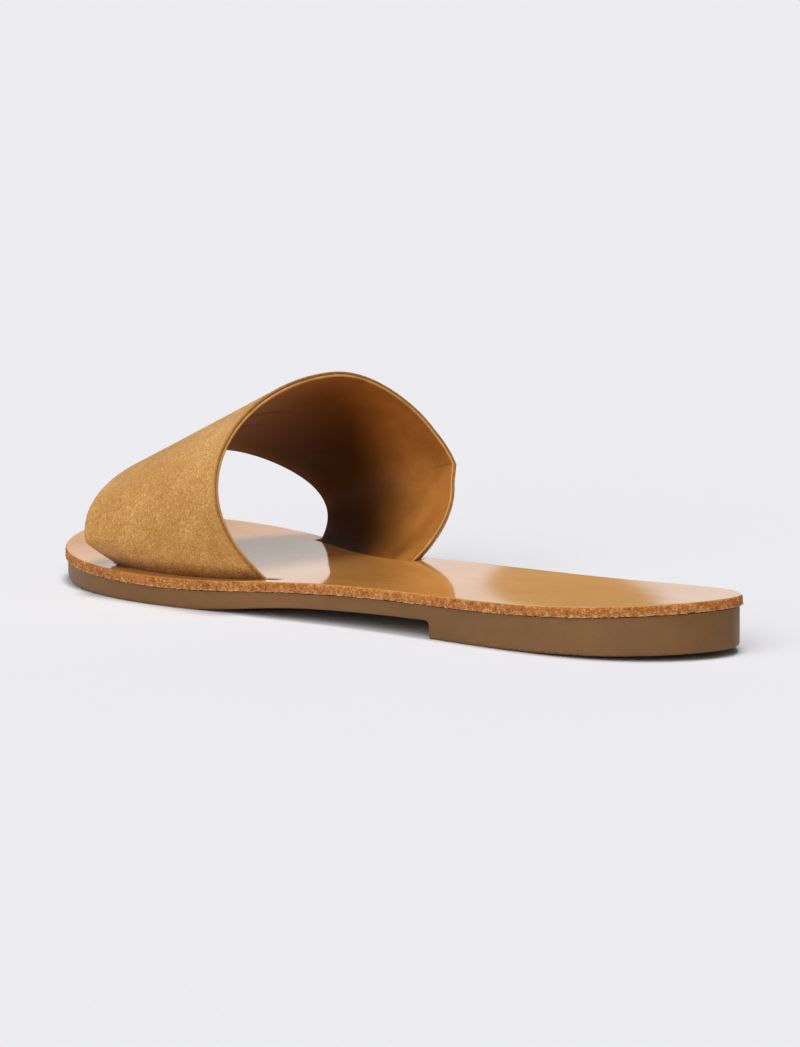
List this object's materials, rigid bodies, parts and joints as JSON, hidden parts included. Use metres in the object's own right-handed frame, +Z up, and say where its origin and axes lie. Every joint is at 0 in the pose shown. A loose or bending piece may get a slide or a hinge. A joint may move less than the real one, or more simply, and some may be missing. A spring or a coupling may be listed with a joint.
{
  "type": "mule",
  "caption": "Flat open-toe slide mule for the left foot: wide suede band over the instep, leather insole and thin rubber outsole with a low heel.",
  "frame": {"origin": "on the floor, under the middle of the shoe's box", "axes": "+Z up, -Y towards the toe, +X towards the lateral side, which is the wearer's left"},
  "size_m": [0.0962, 0.254, 0.064],
  "materials": {
    "rubber": "satin moulded rubber",
    "leather_board": "polished smooth leather with a raw cut edge",
    "suede": "napped suede outside, smooth leather lining inside"
  },
  "bodies": {
    "root": {"outsole": "rubber", "insole": "leather_board", "upper": "suede"}
  },
  "joints": []
}
